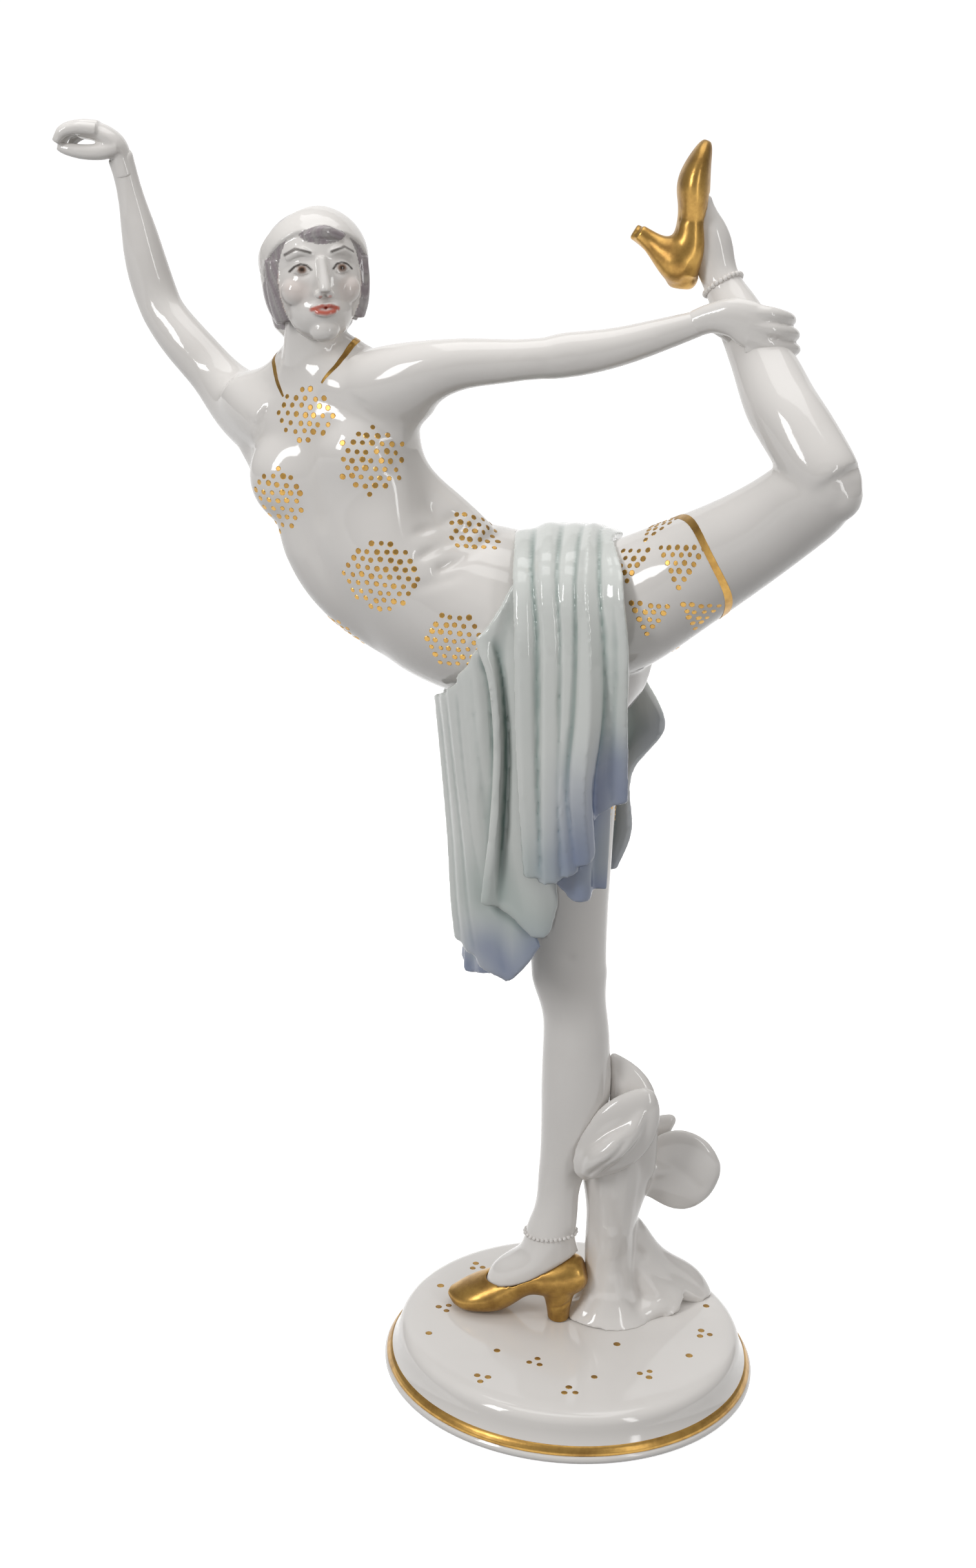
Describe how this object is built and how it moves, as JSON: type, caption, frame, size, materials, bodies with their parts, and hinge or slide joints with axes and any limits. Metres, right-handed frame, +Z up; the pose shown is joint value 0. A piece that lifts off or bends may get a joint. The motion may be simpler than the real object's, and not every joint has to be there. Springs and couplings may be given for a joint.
{
  "type": "porcelain figurine",
  "caption": "Glazed dancer figurine on one leg holding a raised foot behind, pleated skirt, gilt shoes, leafy stump, round plinth with a hollow foot.",
  "frame": {"origin": "centre of the plinth's foot ring, on the surface it stands on", "axes": "+Z up, the dancer faces -X, her left side is towards -Y"},
  "size_m": [0.19, 0.096, 0.3095],
  "materials": {
    "white_glaze": "clear gloss glaze over white porcelain",
    "tinted_glaze": "gloss glaze with a grey-green airbrushed tint",
    "gilding": "fired gold over glaze, satin and a little worn"
  },
  "bodies": {
    "root": {"plinth": "white_glaze", "stump": "white_glaze", "root": "white_glaze", "leaf_front": "white_glaze", "leaf_upper": "white_glaze", "leaf_rear": "white_glaze", "leaf_side": "white_glaze", "standing_shoe": "gilding", "standing_anklet": "white_glaze", "standing_lower_leg": "white_glaze", "standing_thigh": "white_glaze", "pelvis": "white_glaze", "torso": "white_glaze", "head": "white_glaze", "left_upper_arm": "white_glaze", "left_forearm": "white_glaze", "left_hand": "white_glaze", "right_upper_arm": "white_glaze", "right_forearm": "white_glaze", "right_hand": "white_glaze", "raised_thigh": "white_glaze", "raised_lower_leg": "white_glaze", "raised_shoe": "gilding", "raised_anklet": "white_glaze", "skirt_front": "tinted_glaze", "skirt_middle": "tinted_glaze", "skirt_near": "tinted_glaze", "skirt_far": "tinted_glaze", "skirt_back": "tinted_glaze"}
  },
  "joints": []
}
